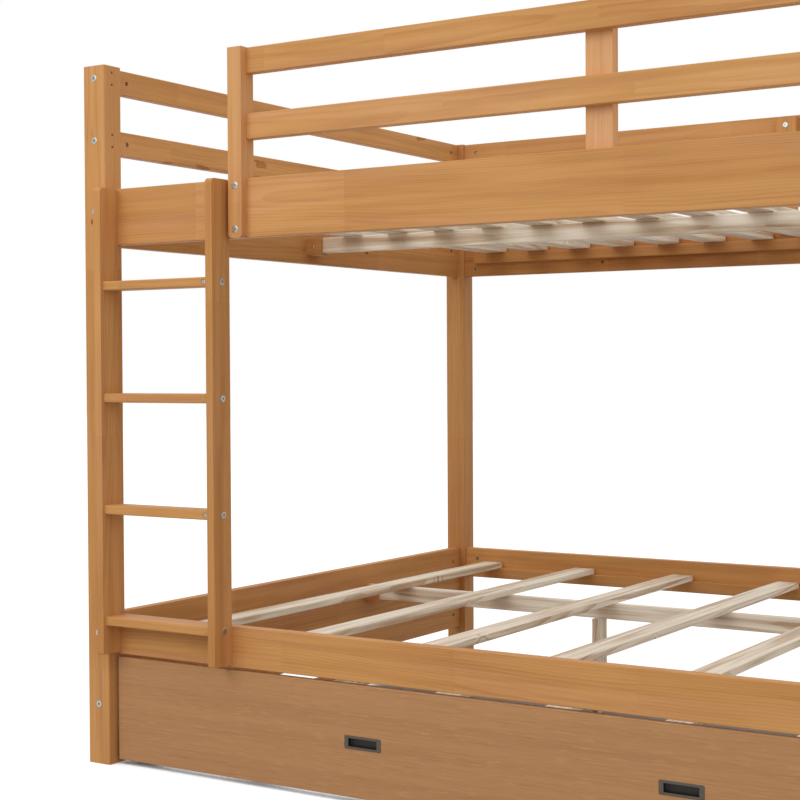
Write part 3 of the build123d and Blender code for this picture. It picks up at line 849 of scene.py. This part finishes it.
def bolt_mesh(length, head_height, head_radius, shank_radius, hardware):
    """A socket-head bolt with its head's top at the origin, under a rim, and its shank down -Z."""
    shape = round_stem(shank_radius, -length, length - head_height)
    face = raise_face(shape, top_face(shape), 0)
    scale_face(shape, face, head_radius / shank_radius)
    face = raise_face(shape, face, head_height + hardware.head_sink)

    rim_radius = hardware.rim_width / 2
    slope = RIM_SLOPE * hardware.head_chamfer
    face = raise_face(shape, face, 0)
    scale_face(shape, face, rim_radius / head_radius)
    face = raise_face(shape, face, hardware.rim_rise - hardware.head_chamfer)
    face = raise_face(shape, face, hardware.head_chamfer)
    scale_face(shape, face, 1 - slope / rim_radius)

    inset_face(shape, face, rim_radius - slope - hardware.socket_width * SOCKET_CORNER)
    shape_hexagon(face, hardware.socket_width)
    raise_face(shape, face, -hardware.socket_depth)
    bmesh.ops.recalc_face_normals(shape, faces=shape.faces)
    return shape


class BED_OT_bolts(bpy.types.Operator):
    """Make every bolt with a chamfered head and a hex socket."""
    bl_idname = "bed.bolts"
    bl_label = "Socket-Head Bolts"

    def execute(self, context):
        hardware = context.scene.bed_hardware
        material = metal_finish("Zinc-plated bolt", hardware.steel, 0.22)
        for name in ("end_bolts", "face_bolts", "ladder_bolts"):
            joined = bmesh.new()
            for points in loose_parts(name):
                origin, direction, *sizes = bolt_sizes(points)
                stamp(joined, bolt_mesh(*sizes, hardware), origin, direction)
            new_piece(f"socket_{name}", joined, material, "bed_frame", [name])
        return {"FINISHED"}


# Barrel nuts and the plugs over the ladder's

# Rungs whose right nut shows, counted up from the lowest, which is 0
OPEN_RUNGS = (1, 3)
PLUG_DEPTH = 1.0 * MM
PLUG_DOME = 0.9


def nut_mesh(length, radius, hardware):
    """A slotted, chamfered barrel nut with its outer end at the origin and its body down -Z."""
    shape = round_stem(radius, -length, length - hardware.head_chamfer)
    face = raise_face(shape, top_face(shape), hardware.head_chamfer)
    scale_face(shape, face, 1 - hardware.head_chamfer / radius)
    for side in (-1, 1):
        geometry = shape.verts[:] + shape.edges[:] + shape.faces[:]
        bmesh.ops.bisect_plane(shape, geom=geometry, dist=MM / 1000,
                               plane_co=(side * hardware.slot_width / 2, 0, 0),
                               plane_no=(1, 0, 0))
    tops = [face for face in shape.faces if face.calc_center_median().z > -MM / 10]
    slot_face = min(tops, key=lambda face: abs(face.calc_center_median().x))
    raise_face(shape, slot_face, -hardware.slot_depth)
    bmesh.ops.recalc_face_normals(shape, faces=shape.faces)
    return shape


class BED_OT_barrel_nuts(bpy.types.Operator):
    """Make every barrel nut with a chamfered, slotted end."""
    bl_idname = "bed.barrel_nuts"
    bl_label = "Barrel Nuts"

    def execute(self, context):
        hardware = context.scene.bed_hardware
        material = metal_finish("Zinc-plated nut", hardware.steel, 0.3)
        for name in ("barrel_nuts", "ladder_barrel_nuts"):
            joined = bmesh.new()
            for points in loose_parts(name):
                origin, direction, length, radius = nut_sizes(points)
                stamp(joined, nut_mesh(length, radius, hardware), origin, direction)
            new_piece(f"slotted_{name}", joined, material, "bed_frame", [name])
        return {"FINISHED"}


def plug_mesh(radius):
    """A thin wooden disc with a domed face, standing on a nut's end at the origin."""
    shape = round_stem(radius, 0, PLUG_DEPTH)
    face = raise_face(shape, top_face(shape), PLUG_DEPTH / 10)
    scale_face(shape, face, PLUG_DOME)
    bmesh.ops.recalc_face_normals(shape, faces=shape.faces)
    return shape


class BED_OT_rung_plugs(bpy.types.Operator):
    """Put wooden plugs over the rung nuts whose ends don't show."""
    bl_idname = "bed.rung_plugs"
    bl_label = "Rung Plugs"

    def execute(self, context):
        nuts = [nut_sizes(points) for points in loose_parts("ladder_barrel_nuts")]
        heights = sorted({round(origin.z, 3) for origin, *sizes in nuts})
        middle = sum(origin.x for origin, *sizes in nuts) / len(nuts)
        joined = bmesh.new()
        for origin, direction, length, radius in nuts:
            rung = heights.index(round(origin.z, 3))
            if origin.x < middle or rung not in OPEN_RUNGS:
                stamp(joined, plug_mesh(radius), origin, direction)
        inputs = {**stained_inputs(context.scene.bed_wood), "Knot Share": 0.0}
        material = finish("Stained plug", board_group, inputs, STAINED_BUMP, shine=WOOD_SHINE)
        new_piece("rung_plugs", joined, material, "bed_frame")
        return {"FINISHED"}


# Flush pulls

PULL_WALL = 1.2 * MM
PULL_RIM = 9.2 * MM
PULL_RIM_ENDS = 5.0 * MM
PULL_CORNER = 2 * MM
PULL_SLOPE = 2 * MM
PULL_BORDER = 2.2 * MM
PULL_UPRIGHT_SHARE = 0.45
PULL_SLOPE_SHARE = 0.55
POCKET_TAPER = 0.985
POCKET_FLOOR = 0.93
POCKET_START = 0.2 * MM


def pull_mesh(size, flange):
    """A cup with a flange: X along its width, Y up its height, +Z out of the wood."""
    shape = bmesh.new()
    bmesh.ops.create_grid(shape, x_segments=1, y_segments=1, size=0.5)
    pocket_width = size.x - 2 * PULL_RIM
    pocket_height = size.z - 2 * PULL_RIM_ENDS
    cup_width = pocket_width + 2 * PULL_WALL
    cup_height = pocket_height + 2 * PULL_WALL
    depth = size.y - flange
    bmesh.ops.scale(shape, verts=shape.verts, vec=(cup_width, cup_height, 1))
    bmesh.ops.bevel(shape, geom=shape.verts[:], offset=PULL_CORNER, segments=4, profile=0.5,
                    affect="VERTICES", material=-1)
    thicken(shape, -depth, depth)

    # The flange, with a sloping edge
    face = raise_face(shape, top_face(shape), 0)
    bmesh.ops.scale(shape, verts=face.verts, vec=(size.x / cup_width, size.z / cup_height, 1))
    face = raise_face(shape, face, flange * PULL_UPRIGHT_SHARE)
    face = raise_face(shape, face, flange * PULL_SLOPE_SHARE)
    bmesh.ops.scale(shape, verts=face.verts,
                    vec=(1 - PULL_SLOPE / size.x, 1 - PULL_SLOPE / size.z, 1))
    inset_face(shape, face, PULL_BORDER)

    # The pocket, narrower towards its floor
    face = raise_face(shape, face, 0)
    low, high = points_box([vertex.co for vertex in face.verts])
    bmesh.ops.scale(shape, verts=face.verts,
                    vec=(pocket_width / (high.x - low.x), pocket_height / (high.y - low.y), 1))
    face = raise_face(shape, face, -flange * 0.6)
    scale_face(shape, face, POCKET_TAPER)
    face = raise_face(shape, face, PULL_WALL * 2 - depth)
    face = raise_face(shape, face, -PULL_WALL * 0.8)
    scale_face(shape, face, POCKET_FLOOR)
    bmesh.ops.recalc_face_normals(shape, faces=shape.faces)
    return shape


class BED_OT_pulls(bpy.types.Operator):
    """Make the two flush pulls, with a sloping rim and a deep rounded pocket, near-black as painted
    shade.
    """
    bl_idname = "bed.pulls"
    bl_label = "Flush Pulls"

    def execute(self, context):
        hardware = context.scene.bed_hardware
        rim = metal_finish("Gunmetal rim", hardware.gunmetal, 0.34, metallic=0.85)
        pocket = metal_finish("Pull pocket in painted shade", hardware.pocket, 0.5, metallic=0.0)
        board_low, board_high = node_box("trundle_front")
        wood_face = board_low.y
        for side in ("left", "right"):
            name = f"trundle_pull_{side}"
            low, high = node_box(name)
            middle = (low + high) / 2
            shape = pull_mesh(high - low, wood_face - low.y)
            shape.transform(Matrix.Translation((middle.x, wood_face, middle.z))
                            @ Matrix.Rotation(math.pi / 2, 4, "X"))
            piece = new_piece(f"flush_pull_{side}", shape, rim, "trundle", [name])
            # The faces inside the pocket get the near-black painted shade
            piece.data.materials.append(pocket)
            for face in piece.data.polygons:
                if face.center.y > wood_face - POCKET_START:
                    face.material_index = 1
        return {"FINISHED"}


# Casters and wood screws

SCREW_SPREAD = 13 * MM
SCREW_FROM_TOP = 9 * MM
SCREW_NECK = 0.8
SCREW_SUNK = 1.0 * MM
SCREW_LIP = 0.1 * MM
SCREW_CROWN = 0.5 * MM
SCREW_CROWN_WIDTH = 0.7
RECESS_BORDER = 0.3
RECESS_WAIST = 0.55


def screw_mesh(width):
    """A raised countersunk screw head with a cross recess, its wood face at the origin."""
    radius = width / 2
    shape = round_stem(radius * SCREW_NECK, -SCREW_SUNK, SCREW_SUNK + SCREW_LIP, SCREW_SEGMENTS)
    face = top_face(shape)
    scale_face(shape, face, 1 / SCREW_NECK)
    face = raise_face(shape, face, SCREW_CROWN)
    scale_face(shape, face, SCREW_CROWN_WIDTH)
    inset_face(shape, face, radius * RECESS_BORDER)

    # Two of the five corners in each quarter move in, which leaves a cross
    quarter = SCREW_SEGMENTS // 4
    for number, vertex in enumerate(face.verts):
        if number % quarter > 2:
            vertex.co.x *= RECESS_WAIST
            vertex.co.y *= RECESS_WAIST
    raise_face(shape, face, -SCREW_SUNK)
    bmesh.ops.recalc_face_normals(shape, faces=shape.faces)
    return shape


class BED_OT_casters(bpy.types.Operator):
    """Finish the casters and screw their plates to the trundle's sides."""
    bl_idname = "bed.casters"
    bl_label = "Casters"

    def execute(self, context):
        hardware = context.scene.bed_hardware
        steel = metal_finish("Pressed steel", hardware.steel, 0.34)
        dress("caster_plates", steel)
        dress("caster_axles", steel)
        plastic = finish("Moulded wheel", plastic_group, {"Colour": hardware.wheel}, PLASTIC_BUMP)
        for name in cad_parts:
            if name.startswith("caster_wheel"):
                dress(name, plastic)
        joined = bmesh.new()
        for points in loose_parts("caster_plates"):
            low, high = points_box(points)
            inward = 1 if low.x < 0 else -1
            plate_face = high.x if inward > 0 else low.x
            for side in (-1, 1):
                spot = Vector((plate_face, (low.y + high.y) / 2 + side * SCREW_SPREAD,
                               high.z - SCREW_FROM_TOP))
                stamp(joined, screw_mesh(hardware.screw_width), spot, inward * AXES["X"])
        new_piece("caster_screws", joined, steel, "trundle")
        return {"FINISHED"}


class BED_OT_cradle_screws(bpy.types.Operator):
    """Put a screw through the cheek of each beam cradle."""
    bl_idname = "bed.cradle_screws"
    bl_label = "Cradle Screws"

    def execute(self, context):
        hardware = context.scene.bed_hardware
        steel = metal_finish("Zinc-plated screw", hardware.steel, 0.25)
        joined = bmesh.new()
        for points in loose_parts("beam_cradles"):
            low, high = points_box(points)
            spot = Vector(((low.x + high.x) / 2, low.y, (low.z + high.z) / 2))
            stamp(joined, screw_mesh(hardware.screw_width), spot, -AXES["Y"])
        new_piece("cradle_screws", joined, steel, "bed_frame")
        return {"FINISHED"}


# Studio

LAMP_TARGET = (0, 0, 0.8)
KEY_PLACE = (-1.4, -3.9, 2.8)
KEY_SIZE = 2.4
FILL_PLACE = (4.2, -3.6, 1.8)
FILL_SIZE = 3.0

# The floor is lifted to white where nothing within this reach shades it; where something does, the
# missing lift is painted shade
FLOOR_LIFT = 0.8
SHADE_REACH = 0.4
SHADED = 0.1
UNSHADED = 0.45

# Painted shade: the floor under the bed isn't lifted, so the gap over the trundle's front looks
# dark
PAINTED_SHADE_HALF_WIDTH = 1.06
PAINTED_SHADE_FRONT = -0.6
PAINTED_SHADE_BACK = 0.45
PAINTED_SHADE_EDGE = 0.08


def soft_light(name, place, side, power):
    """A large square lamp that faces the bed."""
    lamp = bpy.data.lights.new(name, "AREA")
    lamp.shape = "SQUARE"
    lamp.size = side
    lamp.energy = power
    holder = bpy.data.objects.new(name, lamp)
    holder.location = place
    towards = Vector(LAMP_TARGET) - Vector(place)
    holder.rotation_euler = towards.to_track_quat("-Z", "Y").to_euler()
    bpy.context.scene.collection.objects.link(holder)


def seen_directly(tree):
    """1 on rays from the camera, a mirror or glass, and 0 on rays of light."""
    path = node(tree, "ShaderNodeLightPath").outputs
    seen = calc(tree, "MAXIMUM", path["Is Camera Ray"], path["Is Glossy Ray"])
    return calc(tree, "MAXIMUM", seen, path["Is Transmission Ray"])


def painted_shade_under_bed(tree):
    """The painted shade's mask: 1 on the floor under the bed and 0 around it, with a soft edge."""
    place = separated(tree, node(tree, "ShaderNodeTexCoord").outputs["Object"])
    sides = remap(tree, calc(tree, "ABSOLUTE", place["X"]), PAINTED_SHADE_HALF_WIDTH,
                  PAINTED_SHADE_HALF_WIDTH - PAINTED_SHADE_EDGE)
    front = remap(tree, place["Y"], PAINTED_SHADE_FRONT - PAINTED_SHADE_EDGE, PAINTED_SHADE_FRONT)
    back = remap(tree, place["Y"], PAINTED_SHADE_BACK, PAINTED_SHADE_BACK - PAINTED_SHADE_EDGE)
    return calc(tree, "MULTIPLY", sides, calc(tree, "MULTIPLY", front, back))


def floor_finish(colour):
    """A dull pale floor, seen as white where nothing shades it, with painted shade where something
    near shades it and under the bed.
    """
    material = bpy.data.materials.new("Pale floor")
    material.use_nodes = True
    tree = material.node_tree
    shader = tree.nodes["Principled BSDF"]
    shader.inputs["Base Color"].default_value = colour
    shader.inputs["Roughness"].default_value = 0.9
    shader.inputs["Specular IOR Level"].default_value = 0.1
    shader.inputs["Emission Color"].default_value = WHITE
    # Ambient occlusion holds back the lift near the bed, which paints in contact shade
    open_sky = node(tree, "ShaderNodeAmbientOcclusion", {"Distance": SHADE_REACH},
                    samples=8).outputs["AO"]
    lift = calc(tree, "MULTIPLY", seen_directly(tree),
                remap(tree, open_sky, SHADED, UNSHADED, 0.0, FLOOR_LIFT))
    camera_ray = node(tree, "ShaderNodeLightPath").outputs["Is Camera Ray"]
    # Painted shade: no lift on the floor under the bed for camera rays
    dark = calc(tree, "MULTIPLY", painted_shade_under_bed(tree), camera_ray)
    lift = calc(tree, "MULTIPLY", lift, calc(tree, "SUBTRACT", 1.0, dark))
    link(tree, shader.inputs["Emission Strength"], lift)
    return material


class BED_OT_stage(bpy.types.Operator):
    """Lay the pale floor, light the bed softly and stand the camera."""
    bl_idname = "bed.stage"
    bl_label = "Studio"

    def execute(self, context):
        studio = context.scene.bed_studio
        self.lay_floor(context, studio)
        self.light_room(context, studio)
        self.stand_camera(context, studio)
        context.scene.view_settings.view_transform = "Standard"
        return {"FINISHED"}

    def lay_floor(self, context, studio):
        """A wide square floor."""
        shape = bmesh.new()
        bmesh.ops.create_grid(shape, x_segments=1, y_segments=1, size=studio.floor_size / 2)
        mesh = bpy.data.meshes.new("floor")
        shape.to_mesh(mesh)
        shape.free()
        mesh.materials.append(floor_finish(studio.floor_colour))
        floor = bpy.data.objects.new("floor", mesh)
        context.scene.collection.objects.link(floor)

    def light_room(self, context, studio):
        """Even room light, white where it is seen, with a key and a fill lamp."""
        world = bpy.data.worlds.new("Studio")
        context.scene.world = world
        world.use_nodes = True
        tree = world.node_tree
        background = tree.nodes["Background"]
        upward = separated(tree, node(tree, "ShaderNodeTexCoord").outputs["Generated"])["Z"]
        room = remap(tree, upward, 0.0, 1.0, studio.horizon_light, studio.ceiling_light, "LINEAR")
        strength = remap(tree, seen_directly(tree), 0.0, 1.0, room, 1.0, "LINEAR")
        link(tree, background.inputs["Strength"], strength)
        background.inputs["Color"].default_value = WHITE
        soft_light("key", KEY_PLACE, KEY_SIZE, studio.key_power)
        soft_light("fill", FILL_PLACE, FILL_SIZE, studio.fill_power)

    def stand_camera(self, context, studio):
        """A camera at the photograph's viewing angle."""
        data = bpy.data.cameras.new("camera")
        data.sensor_width = SENSOR_WIDTH
        data.lens = studio.focal_pixels / PICTURE_WIDTH * SENSOR_WIDTH
        data.shift_x = (PICTURE_MIDDLE - studio.middle_pixel) / PICTURE_WIDTH
        camera = bpy.data.objects.new("camera", data)
        camera.location = studio.camera_place
        turn = Matrix.Rotation(studio.camera_yaw, 3, "Z")
        tilt = Matrix.Rotation(math.pi / 2 - studio.camera_pitch, 3, "X")
        roll = Matrix.Rotation(studio.camera_roll, 3, "Z")
        camera.rotation_euler = (turn @ tilt @ roll).to_euler()
        context.scene.collection.objects.link(camera)
        context.scene.camera = camera


# Panel and registering

class BED_PT_panel(bpy.types.Panel):
    """Lists the bed's sizes, colours and making steps."""
    bl_idname = "BED_PT_panel"
    bl_label = "Bunk Bed"
    bl_space_type = "VIEW_3D"
    bl_region_type = "UI"
    bl_category = "Bunk Bed"

    def draw(self, context):
        for setting in SETTINGS:
            group = getattr(context.scene, setting)
            box = self.layout.box()
            for name in group.__annotations__:
                box.prop(group, name)
        for operator in OPERATORS:
            self.layout.operator(operator.bl_idname)


SETTINGS = {"bed_wood": BedWoodSettings, "bed_hardware": BedHardwareSettings,
            "bed_studio": BedStudioSettings}
OPERATORS = (BED_OT_stained_boards, BED_OT_bare_boards, BED_OT_trundle_front, BED_OT_bolts,
             BED_OT_barrel_nuts, BED_OT_rung_plugs, BED_OT_pulls, BED_OT_casters,
             BED_OT_cradle_screws, BED_OT_stage)


def register():
    """Add the settings, operators and panel."""
    for name, group in SETTINGS.items():
        bpy.utils.register_class(group)
        setattr(bpy.types.Scene, name, PointerProperty(type=group))
    for operator in OPERATORS:
        bpy.utils.register_class(operator)
    bpy.utils.register_class(BED_PT_panel)


def unregister():
    """Take the settings, operators and panel away."""
    bpy.utils.unregister_class(BED_PT_panel)
    for operator in reversed(OPERATORS):
        bpy.utils.unregister_class(operator)
    for name, group in SETTINGS.items():
        delattr(bpy.types.Scene, name)
        bpy.utils.unregister_class(group)


def main():
    """Dress the bed in order."""
    register()
    bpy.ops.bed.stained_boards()
    bpy.ops.bed.bare_boards()
    bpy.ops.bed.trundle_front()
    bpy.ops.bed.bolts()
    bpy.ops.bed.barrel_nuts()
    bpy.ops.bed.rung_plugs()
    bpy.ops.bed.pulls()
    bpy.ops.bed.casters()
    bpy.ops.bed.cradle_screws()
    bpy.ops.bed.stage()


if __name__ == "__main__":
    main()
